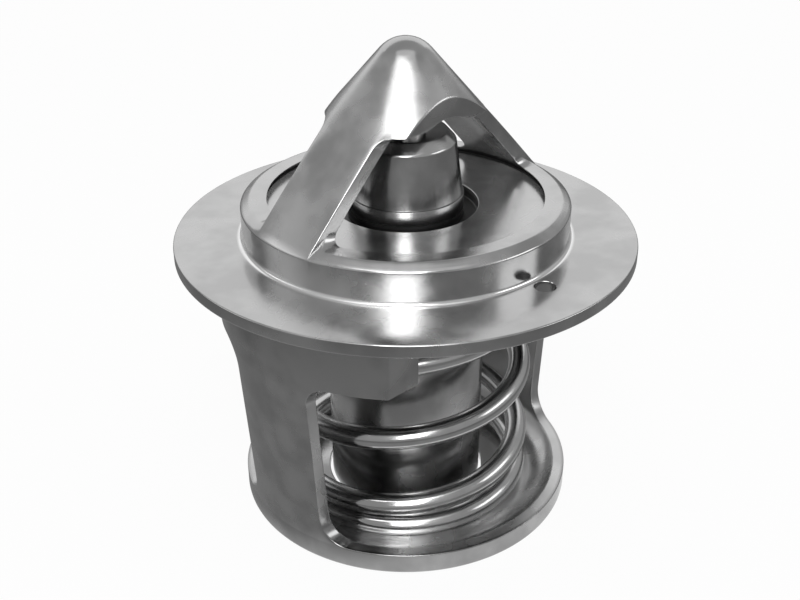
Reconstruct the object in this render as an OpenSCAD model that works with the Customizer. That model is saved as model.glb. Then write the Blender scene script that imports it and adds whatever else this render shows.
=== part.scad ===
// Wax element engine thermostat, heavy duty pattern: a drawn upper frame with a
// conical bridge, a stamped lower cage, a coil spring and a sliding poppet valve.
// Millimetres. Z up, origin on the bearing face of the cage, arms along X.

/* [Flange] */
// Radius of the mounting flange
flange_r = 27; // [24.5:0.5:32]
// Thickness of the sheet that the upper frame is drawn from
sheet = 1.5; // [1.2:0.1:1.8]
// Height of the flange's lower face above the bottom of the cage
flange_z = 33.5; // [31.5:0.5:38]
// Radius of the air bleed hole in the flange
bleed_r = 1.2; // [0.5:0.1:1.8]
// Distance from the ring's bend to the edge of the bleed hole
bleed_gap = 0.1; // [0.1:0.1:1]

/* [Seat ring] */
// Outer radius of the seat ring that stands on the flange
ring_r = 19.14; // [19:0.05:20]
// Height of the ring's flat top above the flange's upper face
ring_h = 4.52; // [4.3:0.05:5.5]
// Radial width of the sloping shoulder at the top of the ring
shoulder_w = 1.11; // [0.6:0.05:1.3]
// Height of the sloping shoulder
shoulder_h = 0.71; // [0.4:0.05:1.1]
// Radius of the bend between the flange and the ring
bend_r = 0.5; // [0.2:0.1:0.9]

/* [Bridge] */
// Radius of the bridge's cone at the knee above the windows
knee_r = 9.46; // [9:0.1:10]
// Height of the knee above the flange's upper face
knee_h = 13.9; // [13.5:0.1:14.5]
// Angle between the cap's cone and the axis, in degrees
nose_angle = 41; // [39:0.5:43]
// Radius of the rounded nose
nose_r = 3.9; // [3.9:0.1:4.3]
// Width of the cap between its side cuts
cap_w = 13; // [11:0.5:15]
// Height of the cap's lower edge above the flange's upper face
cap_h = 14.3; // [14:0.1:15]
// Width of each of the two arms
arm_w = 8.4; // [7.5:0.1:10]
// Radius of the inside corners at the top of the windows
window_top_r = 1.0; // [0.3:0.1:1.4]
// Radius of the inside corners at the bottom of the windows
window_low_r = 1.35; // [1:0.05:1.8]

/* [Cage] */
// Outer radius of the cage's bottom ring
cage_r = 20.67; // [20:0.1:21.5]
// Outer radius of the cage under the flange
collar_r = 22.3; // [22:0.1:23.5]
// Thickness of the cage's wall
cage_t = 1.5; // [1.2:0.1:1.8]
// Thickness of the cage's floor
floor_t = 1.1; // [0.8:0.05:1.4]
// Height of the bottom ring
base_h = 2.8; // [2.4:0.1:3.4]
// Radius of the dish between the ring and the floor
dish_r = 3.4; // [2.4:0.1:3.6]
// Width of the small step between the dish's upper edge and the legs
dish_step = 0.1; // [0.05:0.05:0.3]
// Width of each leg
leg_w = 11.8; // [9:0.2:14]
// Radius of the inside corners at the foot of each leg
leg_low_r = 3.35; // [1:0.1:4]
// Radius of the inside corners at the top of each leg
leg_top_r = 3.0; // [1:0.1:4]
// Length of the collar under the flange
collar_h = 8.1; // [6:0.1:10]
// Width of the collar, flat to flat
collar_w = 29; // [26:0.5:32]
// Thickness of the doubled collar
collar_t = 3.1; // [2.8:0.1:3.3]

/* [Valve] */
// Height of the disc's top at its rim above the flange's upper face
disc_rim_h = 3.68; // [3.6:0.02:3.8]
// Height of the disc's top just outside its middle recess
disc_dish_h = 3.35; // [3.2:0.05:3.5]
// Height of the disc's top at its hub
disc_hub_h = 2.0; // [1.9:0.05:2.1]
// Height of the disc's flat underside
disc_low_h = 2.0; // [1.8:0.05:2.1]
// Thickness of the disc over the element
hub_t = 0.8; // [0.7:0.05:0.85]
// Width of the rubber rim that shows inside the seat
seal_show = 0.35; // [0.2:0.05:0.6]
// Clearance between the rubber rim and the ring's wall
seal_gap = 0.5; // [0.4:0.05:0.6]
// Clearance between the closed rubber rim and its seat
seat_gap = 0.02; // [0.01:0.01:0.05]
// Radius of the recess round the guide
moat_r = 8.45; // [8:0.05:9]

/* [Element] */
// Radius of the wax element's cup
element_r = 9.6; // [9.3:0.1:9.9]
// Height of the cup's bottom above the bottom of the cage
element_z = 0.3; // [0.2:0.1:3.2]
// Radius of the cup's lower edge
element_edge = 0.8; // [0.5:0.1:1.5]
// Wall of the cup
element_t = 0.9; // [0.8:0.05:1.1]
// Sliding clearance round the cup in the floor's hole
floor_gap = 0.35; // [0.3:0.05:0.6]
// Radius of the guide's neck through the disc
neck_r = 3.9; // [3.8:0.05:4.1]
// Height of the guide cap's top above the flange's upper face
cap_top_h = 12.28; // [11.6:0.1:12.8]
// Radius of the guide cap's flat top
cap_top_r = 4.72; // [4.4:0.1:5]
// Radius of the guide cap below its chamfer
cap_mid_r = 5.77; // [5.5:0.05:6]
// Height of the guide cap's chamfer
cap_chamfer = 1.17; // [0.6:0.05:1.6]
// Radius of the guide cap where it meets the retainer
cap_low_r = 6.6; // [6.4:0.05:6.7]
// Outer radius of the retainer
retainer_r = 6.75; // [6.7:0.05:7.1]
// Height of the retainer
retainer_h = 2.85; // [2.6:0.05:3.2]
// Radius of the piston
piston_r = 2.3; // [2.1:0.05:2.3]
// Sliding clearance round the piston
piston_gap = 0.04; // [0.02:0.01:0.08]
// Radius of the rubber boot
boot_r = 4.6; // [4.2:0.1:5.4]

/* [Spring] */
// Diameter of the spring's wire
wire_d = 2.7; // [2.3:0.05:2.8]
// Mean radius of the coils
coil_r = 14.2; // [14.1:0.05:14.3]
// Number of turns, with the closed ends
coil_turns = 5.75; // [4.75:0.25:6.25]
// Angle where the lower end of the wire starts, in degrees
coil_start = 61; // [0:1:355]
// Wire ground off at each end
coil_grind = 1.7; // [1.5:0.1:1.9]

/* [Hidden] */
eps = 0.01;
$fn = 96;

// Flange and seat ring
top_z = flange_z + sheet;
ring_top = top_z + ring_h;
shoulder_r = ring_r - shoulder_w;
ring_bore = ring_r - sheet;
flange_edge = 0.12;
bleed_y = ring_r + bend_r + bleed_gap + bleed_r;

// Bridge: arms up to the knee, cap above it and the rounded nose
knee_z = top_z + knee_h;
arm_angle = atan((shoulder_r - knee_r) / (knee_z - ring_top));
apex_z = knee_z + knee_r / tan(nose_angle);
nose_cz = apex_z - nose_r / sin(nose_angle);
nose_top = nose_cz + nose_r;
cap_z = top_z + cap_h;

// Inside of the same sheet: seat cone, knee and dome
seat_r = shoulder_r - sheet / cos(arm_angle);
seat_low = ring_top - (ring_bore - seat_r) / tan(arm_angle);
mitre = sheet / cos((arm_angle - nose_angle) / 2);
mean_angle = (arm_angle + nose_angle) / 2;
knee_in_r = knee_r - mitre * cos(mean_angle);
knee_in_z = knee_z - mitre * sin(mean_angle);
dome_r = nose_r - sheet;

// Cage: wall line from the bottom ring to the collar
collar_z = flange_z - collar_h;
taper = (collar_r - cage_r) / (collar_z - base_h);
slant_t = cage_t * sqrt(1 + taper * taper);
floor_hole = element_r + floor_gap;
cage_edge = 0.6;

// Valve disc and its rubber rim, which lies along the seat cone
rim_z = top_z + disc_rim_h;
dish_z = top_z + disc_dish_h;
hub_z = top_z + disc_hub_h;
disc_low = top_z + disc_low_h;
element_top = hub_z - hub_t;
seat_offset = seat_gap / cos(arm_angle);
rim_r = seat_r + (ring_top - rim_z) * tan(arm_angle) - seat_offset;
crown_r = rim_r - seal_show;
seal_r = ring_bore - seal_gap;
flank_z = ring_top - (seal_r + seat_offset - seat_r) / tan(arm_angle);
recess_gap = 0.3;
recess_r = element_r + recess_gap;
neck_gap = 0.03;
low_edge = 0.3;
moat_edge = 0.1;

// Guide: stem, cap and retainer
cap_top_z = top_z + cap_top_h;
retainer_z = hub_z + retainer_h;
cap_roof = 1.4;
wiper_h = 1.7;
stem_top = cap_top_z - cap_roof - wiper_h;
stack_gap = 0.02;
round_low = 0.3;
round_top = 0.2;
piston_bore = piston_r + piston_gap;

// Wax element: lip, stem flange and boot flange stacked in the cup's mouth
lip_t = 0.7;
lip_r = 7.6;
stem_flange_t = 1.1;
boot_flange_t = 0.8;
cup_bore = element_r - element_t;
cup_step = 0.5;
mouth_gap = 0.05;
stem_low = element_top - lip_t - stem_flange_t;
boot_top = stem_low - boot_flange_t;
boot_lift = 11.2;
boot_low = element_z + boot_lift;
boot_skin = 0.05;
boot_foot_r = 1.6;
washer_t = 0.8;
washer_r = piston_r + 1.2;

// Piston: round end in the dome, foot in the boot
piston_top = nose_top - sheet - 0.02;
piston_lift = 2.6;
piston_low = boot_low + piston_lift;
foot_gap = 0.3;

// Spring: closed ends that lie on themselves, an open middle and even changes between
spring_gap = 0.02;
spring_low = floor_t;
spring_top = disc_low - spring_gap;
closed_pitch = wire_d + 0.1;
end_drop = coil_grind - wire_d / 2;
coil_low = spring_low - end_drop;
coil_high = spring_top + end_drop;
closed_end = 1.3;
change = 0.25;
open_run = coil_turns - 2 * closed_end - 2 * change;
open_pitch = (coil_high - coil_low - closed_pitch * (2 * closed_end + change)) / (open_run + change);
wire_sides = 14;
steps_per_turn = 28;

// A concave corner piece: the square corner at the origin less a quarter of a circle
module corner(r) {
    difference() {
        translate([-eps, -eps]) square([r + eps, r + eps]);
        translate([r, r]) circle(r);
    }
}

// The same corner piece on both sides of the axis, and turned upside down for up = -1
module corner_pair(x, y, r, up) {
    for (side = [0, 1])
        mirror([side, 0])
            translate([x, y])
                mirror([0, up < 0 ? 1 : 0]) corner(r);
}

// Front elevation (Y across, Z up) of what the windows leave of the bridge
module bridge_outline() {
    translate([-flange_r - 1, flange_z - 1])
        square([2 * flange_r + 2, ring_top - flange_z + 1]);
    translate([-arm_w / 2, ring_top - eps])
        square([arm_w, cap_z - ring_top + 2 * eps]);
    translate([-cap_w / 2, cap_z])
        square([cap_w, nose_top - cap_z + 1]);
    corner_pair(arm_w / 2, ring_top, window_low_r, 1);
    corner_pair(arm_w / 2, cap_z, window_top_r, -1);
}

// Half section of the upper frame's outside, filled in to the axis
module frame_outside() {
    polygon([
        [0, flange_z], [flange_r - flange_edge, flange_z], [flange_r, flange_z + flange_edge],
        [flange_r, top_z - flange_edge], [flange_r - flange_edge, top_z], [ring_r, top_z],
        [ring_r, ring_top - shoulder_h], [knee_r, knee_z],
        [nose_r * cos(nose_angle), nose_cz + nose_r * sin(nose_angle)],
        [0, nose_cz + nose_r * sin(nose_angle)]
    ]);
    translate([ring_r, top_z]) corner(bend_r);
    intersection() {
        translate([0, nose_cz]) circle(nose_r);
        translate([0, nose_cz]) square(nose_r + 1);
    }
}

// Half section of the space inside the upper frame
module frame_inside() {
    reach = sheet + bend_r;
    polygon([
        [-1, flange_z - 1], [ring_bore, flange_z - 1], [ring_bore, seat_low],
        [seat_r, ring_top], [knee_in_r, knee_in_z],
        [dome_r * cos(nose_angle), nose_cz + dome_r * sin(nose_angle)],
        [-1, nose_cz + dome_r * sin(nose_angle)]
    ]);
    translate([0, nose_cz]) circle(dome_r);
    difference() {
        translate([ring_bore - eps, flange_z - eps]) square([reach + eps, reach + eps]);
        translate([ring_bore + reach, flange_z + reach]) circle(reach);
    }
}

// Shoulder cut round the seat ring, which stops at the sides of the two arms
module shoulder_cut() {
    fall = shoulder_h / shoulder_w;
    difference() {
        rotate_extrude()
            polygon([
                [ring_r, ring_top - shoulder_h],
                [shoulder_r - window_low_r / fall, ring_top + window_low_r],
                [ring_r, ring_top + window_low_r]
            ]);
        translate([-ring_r - 1, -arm_w / 2, ring_top - shoulder_h - 1])
            cube([2 * ring_r + 2, arm_w, shoulder_h + window_low_r + 2]);
    }
}

module upper_frame() {
    color("silver")
        difference() {
            intersection() {
                rotate_extrude()
                    difference() {
                        frame_outside();
                        frame_inside();
                    }
                rotate([90, 0, 90])
                    linear_extrude(height = 2 * flange_r + 4, center = true) bridge_outline();
            }
            shoulder_cut();
            translate([0, -bleed_y, flange_z - 1]) cylinder(r = bleed_r, h = sheet + 2);
        }
}

// Front elevation (Y across, Z up) of what the windows leave of the cage
module cage_outline() {
    translate([-collar_r - 1, -1])
        square([2 * collar_r + 2, base_h + 1]);
    translate([-leg_w / 2, base_h - eps])
        square([leg_w, collar_z - base_h + 2 * eps]);
    translate([-collar_w / 2, collar_z])
        square([collar_w, collar_h + 1]);
    corner_pair(leg_w / 2, base_h, leg_low_r, 1);
    corner_pair(leg_w / 2, collar_z, leg_top_r, -1);
}

// Corner of the dish, left by a circle that touches the floor and ends at the ring's top
module dish_corner() {
    rise = base_h - floor_t;
    run = sqrt(dish_r * dish_r - (dish_r - rise) * (dish_r - rise));
    dish_in = cage_r - cage_t - dish_step - run;
    difference() {
        translate([dish_in, floor_t - eps]) square([run + cage_t / 2, rise + eps]);
        translate([dish_in, floor_t + dish_r]) circle(dish_r);
    }
}

// Half section of the cage: dished floor, bottom ring, tapered wall and doubled collar
module cage_section() {
    polygon([
        [floor_hole, 0], [cage_r - cage_edge, 0], [cage_r, cage_edge],
        [cage_r, base_h], [collar_r, collar_z], [collar_r, flange_z],
        [collar_r - collar_t, flange_z], [collar_r - collar_t, collar_z],
        [collar_r - slant_t, collar_z], [cage_r - cage_t, base_h],
        [cage_r - cage_t, floor_t], [floor_hole, floor_t]
    ]);
    dish_corner();
}

module lower_cage() {
    color("darkgray")
        intersection() {
            rotate_extrude() cage_section();
            rotate([90, 0, 90])
                linear_extrude(height = 2 * collar_r + 4, center = true) cage_outline();
        }
}

// Valve disc: dished top with a recess round the guide, flat spring face and a boss below
module valve_disc() {
    color("gainsboro")
        rotate_extrude()
            polygon([
                [neck_r + neck_gap, hub_z], [moat_r, hub_z], [moat_r, dish_z - moat_edge],
                [moat_r + moat_edge, dish_z], [crown_r, rim_z], [crown_r, disc_low],
                [recess_r, disc_low], [recess_r, element_top], [neck_r + neck_gap, element_top]
            ]);
}

// Rubber rim bonded round the disc, with its flank along the seat
module valve_seal() {
    color("dimgray")
        rotate_extrude()
            polygon([
                [crown_r, disc_low], [seal_r - low_edge, disc_low], [seal_r, disc_low + low_edge],
                [seal_r, flank_z], [rim_r, rim_z], [crown_r, rim_z]
            ]);
}

// Retainer: round-edged ring pressed on the neck, which holds the disc on the element
module disc_retainer() {
    color("gray")
        rotate_extrude()
            difference() {
                union() {
                    translate([neck_r, hub_z + round_low])
                        square([retainer_r - neck_r, retainer_h - round_low - round_top]);
                    translate([neck_r, hub_z])
                        square([retainer_r - round_low - neck_r, retainer_h]);
                    translate([retainer_r - round_low, hub_z + round_low]) circle(round_low);
                    translate([retainer_r - round_top, retainer_z - round_top]) circle(round_top);
                    translate([neck_r, retainer_z - round_top])
                        square([retainer_r - round_top - neck_r, round_top]);
                }
                translate([0, hub_z - 1]) square([neck_r + neck_gap, retainer_h + 2]);
            }
}

// Guide stem: flange under the cup's lip, neck up into the guide cap, bore for the piston
module guide_stem() {
    color("darkgray")
        rotate_extrude()
            difference() {
                polygon([
                    [piston_bore, stem_top], [neck_r, stem_top], [neck_r, element_top],
                    [lip_r - mouth_gap, element_top], [lip_r - mouth_gap, element_top - lip_t],
                    [cup_bore - mouth_gap, element_top - lip_t], [cup_bore - mouth_gap, stem_low],
                    [piston_bore, stem_low]
                ]);
                translate([0, stem_low - 1]) square([washer_r, washer_t + 1]);
            }
}

// Guide cap: tapered sleeve pressed over the neck, room for the wiper under its roof
module guide_cap() {
    color("silver")
        rotate_extrude()
            polygon([
                [piston_bore, cap_top_z], [cap_top_r, cap_top_z],
                [cap_mid_r, cap_top_z - cap_chamfer], [cap_low_r, retainer_z + stack_gap],
                [neck_r + neck_gap, retainer_z + stack_gap], [neck_r + neck_gap, stem_top + wiper_h],
                [piston_bore, stem_top + wiper_h]
            ]);
}

module wiper_seal() {
    wire_r = (neck_r - piston_bore) / 2;
    color("black")
        translate([0, 0, stem_top + wiper_h / 2])
            rotate_extrude()
                translate([piston_bore + wire_r, 0]) circle(wire_r);
}

module backup_washer() {
    color("white")
        translate([0, 0, stem_low])
            difference() {
                cylinder(r = washer_r - eps, h = washer_t);
                translate([0, 0, -1]) cylinder(r = piston_bore, h = washer_t + 2);
            }
}

// Rubber boot: clamped flange on top, thick sleeve round the piston's foot
module rubber_boot() {
    color("black")
        rotate_extrude()
            difference() {
                union() {
                    translate([0, boot_top]) square([cup_bore - mouth_gap, boot_flange_t]);
                    translate([0, boot_low + boot_foot_r])
                        square([boot_r, boot_top - boot_low - boot_foot_r + eps]);
                    translate([0, boot_low]) square([boot_r - boot_foot_r, boot_foot_r + eps]);
                    translate([boot_r - boot_foot_r, boot_low + boot_foot_r]) circle(boot_foot_r);
                }
                translate([-1, piston_low - foot_gap])
                    square([1 + piston_bore, stem_low - piston_low + foot_gap + 1]);
                translate([-boot_r, boot_low - 1]) square([boot_r, stem_low - boot_low + 2]);
            }
}

// The cup's inside, less what the boot fills
module wax_charge() {
    color("beige")
        difference() {
            translate([0, 0, element_z + element_t])
                cylinder(r = cup_bore - cup_step, h = boot_top - element_z - element_t);
            translate([0, 0, boot_low - boot_skin])
                cylinder(r = boot_r + boot_skin, h = boot_top - boot_low + 1);
        }
}

// Cup: rounded bottom, straight wall, inside step for the boot and a lip rolled over the stem
module element_cup() {
    shell_low = element_z + element_edge;
    color("gray")
        rotate_extrude()
            difference() {
                union() {
                    translate([0, shell_low]) square([element_r, element_top - shell_low]);
                    translate([0, element_z]) square([element_r - element_edge, element_edge + eps]);
                    translate([element_r - element_edge, shell_low]) circle(element_edge);
                }
                translate([-1, element_z + element_t])
                    square([1 + cup_bore - cup_step, boot_top - element_z - element_t]);
                translate([-1, boot_top])
                    square([1 + cup_bore, stem_flange_t + boot_flange_t]);
                translate([-1, boot_top]) square([1 + lip_r, element_top - boot_top + 1]);
                translate([-element_r, element_z - 1]) square([element_r, element_top]);
            }
}

// Piston: straight pin whose round upper end bears in the nose's dome
module piston() {
    color("whitesmoke")
        rotate_extrude()
            intersection() {
                union() {
                    translate([0, piston_low]) square([piston_r, piston_top - piston_r - piston_low]);
                    translate([0, piston_top - piston_r]) circle(piston_r);
                }
                translate([0, piston_low]) square([piston_r + 1, piston_top - piston_low + 1]);
            }
}

// Height of the wire's centre line after t turns
function coil_z(t) =
    let (
        a = closed_end,
        b = a + change,
        c = b + open_run,
        d = c + change,
        step = (open_pitch - closed_pitch) / change
    )
    coil_low + closed_pitch * t
        + (t <= a ? 0
        : t <= b ? step * (t - a) * (t - a) / 2
        : t <= c ? (open_pitch - closed_pitch) * (t - b + change / 2)
        : t <= d ? (open_pitch - closed_pitch) * (open_run + change / 2 + (t - c))
            - step * (t - c) * (t - c) / 2
        : (open_pitch - closed_pitch) * (open_run + change));

// One point of the wire's skin: i counts along the coil, j round the wire
function wire_point(i, j) =
    let (
        t = i / steps_per_turn,
        turn = coil_start + 360 * t,
        around = 360 * j / wire_sides,
        r = coil_r + wire_d / 2 * cos(around)
    )
    [r * cos(turn), r * sin(turn), coil_z(t) + wire_d / 2 * sin(around)];

module coil() {
    rings = round(coil_turns * steps_per_turn);
    last = rings * wire_sides;
    points = [for (i = [0:rings]) for (j = [0:wire_sides - 1]) wire_point(i, j)];
    sides = [
        for (i = [0:rings - 1]) for (j = [0:wire_sides - 1])
            let (k = (j + 1) % wire_sides)
            [i * wire_sides + j, (i + 1) * wire_sides + j, (i + 1) * wire_sides + k, i * wire_sides + k]
    ];
    ends = [
        [for (j = [0:wire_sides - 1]) j],
        [for (j = [wire_sides - 1:-1:0]) last + j]
    ];
    polyhedron(points = points, faces = concat(sides, ends), convexity = 12);
}

// The coil with both ends ground flat between the cage's floor and the disc
module main_spring() {
    reach = coil_r + wire_d;
    color("lightgray")
        intersection() {
            coil();
            translate([-reach, -reach, spring_low])
                cube([2 * reach, 2 * reach, spring_top - spring_low]);
        }
}

upper_frame();
lower_cage();
valve_disc();
valve_seal();
disc_retainer();
guide_stem();
guide_cap();
wiper_seal();
backup_washer();
rubber_boot();
wax_charge();
element_cup();
piston();
main_spring();
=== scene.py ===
"""Looks of the engine thermostat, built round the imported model.

Sizes are in millimetres, as in the part's source."""

import math

import bmesh
import bpy
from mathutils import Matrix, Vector


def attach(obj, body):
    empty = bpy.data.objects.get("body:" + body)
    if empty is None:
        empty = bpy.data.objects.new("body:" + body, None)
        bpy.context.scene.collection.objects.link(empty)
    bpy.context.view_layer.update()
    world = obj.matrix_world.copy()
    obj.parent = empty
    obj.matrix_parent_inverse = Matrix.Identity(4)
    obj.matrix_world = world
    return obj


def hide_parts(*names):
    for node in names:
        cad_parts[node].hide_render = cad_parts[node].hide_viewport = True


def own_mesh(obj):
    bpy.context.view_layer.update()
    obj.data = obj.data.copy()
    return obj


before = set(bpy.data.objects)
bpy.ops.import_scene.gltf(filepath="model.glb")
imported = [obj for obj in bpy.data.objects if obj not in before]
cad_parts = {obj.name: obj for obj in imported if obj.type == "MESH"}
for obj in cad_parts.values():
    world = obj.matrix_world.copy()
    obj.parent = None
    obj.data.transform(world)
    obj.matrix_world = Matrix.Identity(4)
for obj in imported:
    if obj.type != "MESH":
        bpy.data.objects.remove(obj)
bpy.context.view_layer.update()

MM = 0.001

# Sizes of the upper frame
FLANGE_R, SHEET, FLANGE_Z = 27.0, 1.5, 33.5
RING_R, RING_H, SHOULDER_W, SHOULDER_H, BEND_R = 19.14, 4.52, 1.11, 0.71, 0.5
KNEE_R, KNEE_H, NOSE_ANGLE, NOSE_R = 9.46, 13.9, math.radians(41), 3.9
CAP_HALF, CAP_H, ARM_HALF = 6.5, 14.3, 4.2
WINDOW_TOP_R, WINDOW_LOW_R = 1.0, 1.35
BLEED_R, BLEED_GAP = 1.2, 0.1
TOP_Z = FLANGE_Z + SHEET
RING_TOP = TOP_Z + RING_H
SHOULDER_R = RING_R - SHOULDER_W
RING_BORE = RING_R - SHEET
KNEE_Z = TOP_Z + KNEE_H
CORNER_Z = RING_TOP - SHOULDER_H
ARM_SLOPE = (SHOULDER_R - KNEE_R) / (KNEE_Z - RING_TOP)
OUT_SLOPE = (RING_R - KNEE_R) / (KNEE_Z - CORNER_Z)
FALL = SHOULDER_W / SHOULDER_H
ARM_ANGLE = math.atan(ARM_SLOPE)
CAP_SLOPE = math.tan(NOSE_ANGLE)
APEX_Z = KNEE_Z + KNEE_R / CAP_SLOPE
NOSE_CZ = APEX_Z - NOSE_R / math.sin(NOSE_ANGLE)
CAP_Z = TOP_Z + CAP_H
SEAT_R = SHOULDER_R - SHEET / math.cos(ARM_ANGLE)
SEAT_LOW = RING_TOP - (RING_BORE - SEAT_R) / ARM_SLOPE
MITRE = SHEET / math.cos((ARM_ANGLE - NOSE_ANGLE) / 2)
MEAN_ANGLE = (ARM_ANGLE + NOSE_ANGLE) / 2
KNEE_IN_R = KNEE_R - MITRE * math.cos(MEAN_ANGLE)
KNEE_IN_Z = KNEE_Z - MITRE * math.sin(MEAN_ANGLE)
APEX_IN_Z = KNEE_IN_Z + KNEE_IN_R / CAP_SLOPE
DOME_R = NOSE_R - SHEET
BLEED_Y = RING_R + BEND_R + BLEED_GAP + BLEED_R

# Sizes of the lower cage
CAGE_R, COLLAR_R, CAGE_T, FLOOR_T, BASE_H, DISH_R = 20.67, 22.3, 1.5, 1.1, 2.8, 3.4
LEG_HALF, LEG_LOW_R, LEG_TOP_R = 5.9, 3.35, 3.0
COLLAR_H, COLLAR_HALF, COLLAR_T = 8.1, 14.5, 3.1
FLOOR_HOLE, CAGE_EDGE = 9.95, 0.6
COLLAR_Z = FLANGE_Z - COLLAR_H
CAGE_TAPER = (COLLAR_R - CAGE_R) / (COLLAR_Z - BASE_H)
SLANT_T = CAGE_T * math.sqrt(1 + CAGE_TAPER ** 2)
DISH_RUN = math.sqrt(DISH_R ** 2 - (DISH_R - BASE_H + FLOOR_T) ** 2)
DISH_CENTRE = CAGE_R - CAGE_T - DISH_RUN

# Sizes of the valve and the element
RIM_Z, DISH_Z, HUB_Z, DISC_LOW = TOP_Z + 3.68, TOP_Z + 3.35, TOP_Z + 2.0, TOP_Z + 2.0
HUB_T, MOAT_R, SEAT_GAP, SEAL_SHOW, SEAL_GAP = 0.8, 8.45, 0.02, 0.35, 0.5
ELEMENT_TOP = HUB_Z - HUB_T
SEAT_OFFSET = SEAT_GAP / math.cos(ARM_ANGLE)
RIM_R = SEAT_R + (RING_TOP - RIM_Z) * ARM_SLOPE - SEAT_OFFSET
CROWN_R = RIM_R - SEAL_SHOW
SEAL_R = RING_BORE - SEAL_GAP
FLANK_Z = RING_TOP - (SEAL_R + SEAT_OFFSET - SEAT_R) / ARM_SLOPE
ELEMENT_R, ELEMENT_Z, ELEMENT_EDGE, ELEMENT_T, RECESS_R = 9.6, 0.3, 0.8, 0.9, 9.9
CUP_BORE, CUP_STEP, MOUTH_GAP, STACK_GAP = ELEMENT_R - ELEMENT_T, 0.5, 0.05, 0.02
NECK_R, NECK_GAP, LIP_T, LIP_R = 3.9, 0.03, 0.7, 7.6
STEM_FLANGE_T, BOOT_FLANGE_T = 1.1, 0.8
STEM_LOW = ELEMENT_TOP - LIP_T - STEM_FLANGE_T
BOOT_TOP = STEM_LOW - BOOT_FLANGE_T
CAP_TOP_Z, CAP_TOP_R, CAP_MID_R, CAP_CHAMFER, CAP_LOW_R = TOP_Z + 12.28, 4.72, 5.77, 1.17, 6.6
RETAINER_R, RETAINER_Z = 6.75, HUB_Z + 2.85
CAP_ROOF, WIPER_H = 1.4, 1.7
STEM_TOP = CAP_TOP_Z - CAP_ROOF - WIPER_H
PISTON_R, PISTON_BORE = 2.3, 2.34
WASHER_R, WASHER_T = PISTON_R + 1.2, 0.8
PISTON_TOP, PISTON_LOW = NOSE_CZ + NOSE_R - SHEET - STACK_GAP, 14.1

# Sizes of the main spring
SPRING_R, SPRING_WIRE, SPRING_TURNS, SPRING_START = 14.2, 2.7, 5.75, math.radians(61)
SPRING_LOW, SPRING_HIGH, SPRING_GRIND = FLOOR_T, DISC_LOW - STACK_GAP, 1.7
CLOSED_TURNS, CHANGE_TURNS = 1.3, 0.25

# Rounding that the eye reads on cut edges
EDGE, CUT_EDGE = 0.12, 0.16
CORNER_ROUND, RIM_ROUND, HOLE_ROUND, BLEED_ROUND = 0.15, 0.2, 0.15, 0.05


# Meshes

def polar(r, a, z):
    return (r * math.cos(a), r * math.sin(a), z)


def azimuth(p):
    return math.atan2(p[1], p[0])


def mix(a, b, t):
    return tuple(u + (v - u) * t for u, v in zip(a, b))


def steps(a, b, count):
    return [a + (b - a) * k / count for k in range(count + 1)]


def bent(start, corner, end, parts=3):
    """Points of a rounded corner between two tangent points."""
    out = []
    for t in steps(0, 1, parts):
        out.append(tuple((1 - t) ** 2 * s + 2 * t * (1 - t) * c + t * t * e
                         for s, c, e in zip(start, corner, end)))
    return out


class Quilt:
    """Collects four-sided patches of points and sews them into one closed mesh."""

    def __init__(self):
        self.faces = []

    def sheet(self, rows, leave=None):
        for i in range(len(rows) - 1):
            a, b = rows[i], rows[i + 1]
            for k in range(len(a) - 1):
                if leave is None or not leave(i, k):
                    self.faces.append((a[k], a[k + 1], b[k + 1], b[k]))

    def copy(self, sx, sy):
        twin = Quilt()
        twin.faces = [tuple((x * sx, y * sy, z) for x, y, z in f) for f in self.faces]
        return twin

    def add(self, *others):
        for other in others:
            self.faces += other.faces
        return self


def sew(name, quilt):
    bm = bmesh.new()
    for f in quilt.faces:
        bm.faces.new([bm.verts.new((x * MM, y * MM, z * MM)) for x, y, z in f])
    bmesh.ops.remove_doubles(bm, verts=bm.verts, dist=1.5e-6)
    bmesh.ops.dissolve_degenerate(bm, edges=bm.edges, dist=1e-7)
    bmesh.ops.recalc_face_normals(bm, faces=bm.faces)
    mesh = bpy.data.meshes.new(name)
    bm.to_mesh(mesh)
    bm.free()
    return finish_mesh(name, mesh)


def finish_mesh(name, mesh, sharp=42):
    """Smooth shading that keeps flat faces flat beside their rounded edges."""
    mesh.shade_smooth()
    mesh.set_sharp_from_angle(angle=math.radians(sharp))
    rough = bpy.data.objects.new(name + "_rough", mesh)
    bpy.context.scene.collection.objects.link(rough)
    weight = rough.modifiers.new("face_weight", "WEIGHTED_NORMAL")
    weight.keep_sharp = True
    return plain_copy(name, rough)


def plain_copy(name, rough):
    bpy.context.view_layer.update()
    graph = bpy.context.evaluated_depsgraph_get()
    mesh = bpy.data.meshes.new_from_object(rough.evaluated_get(graph), depsgraph=graph)
    mesh.name = name
    piece = bpy.data.objects.new(name, mesh)
    bpy.context.scene.collection.objects.link(piece)
    bpy.data.objects.remove(rough)
    return piece


def rounded(outline, closed=True, parts=4):
    """Outline of (radius, height, rounding) points with its corners rounded."""
    out = []
    n = len(outline)
    for k, (r, z, rounding) in enumerate(outline):
        if rounding <= 0 or (not closed and k in (0, n - 1)):
            out.append((r, z))
            continue
        here = Vector((r, z))
        back = Vector(outline[k - 1][:2]) - here
        on = Vector(outline[(k + 1) % n][:2]) - here
        half = back.angle(on) / 2
        cut = min(rounding / math.tan(half), 0.49 * back.length, 0.49 * on.length)
        out += bent(tuple(here + back.normalized() * cut), (r, z),
                    tuple(here + on.normalized() * cut), parts)
    return out


def lathe(name, outline, closed=True, segments=160, parts=4):
    """A turned piece: its outline swept round the axis."""
    path = rounded(outline, closed, parts)
    if closed:
        path.append(path[0])
    turns = steps(0, 2 * math.pi, segments)
    quilt = Quilt()
    quilt.sheet([[polar(r, a, z) for a in turns] for r, z in path])
    return sew(name, quilt)


# Upper frame

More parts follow.
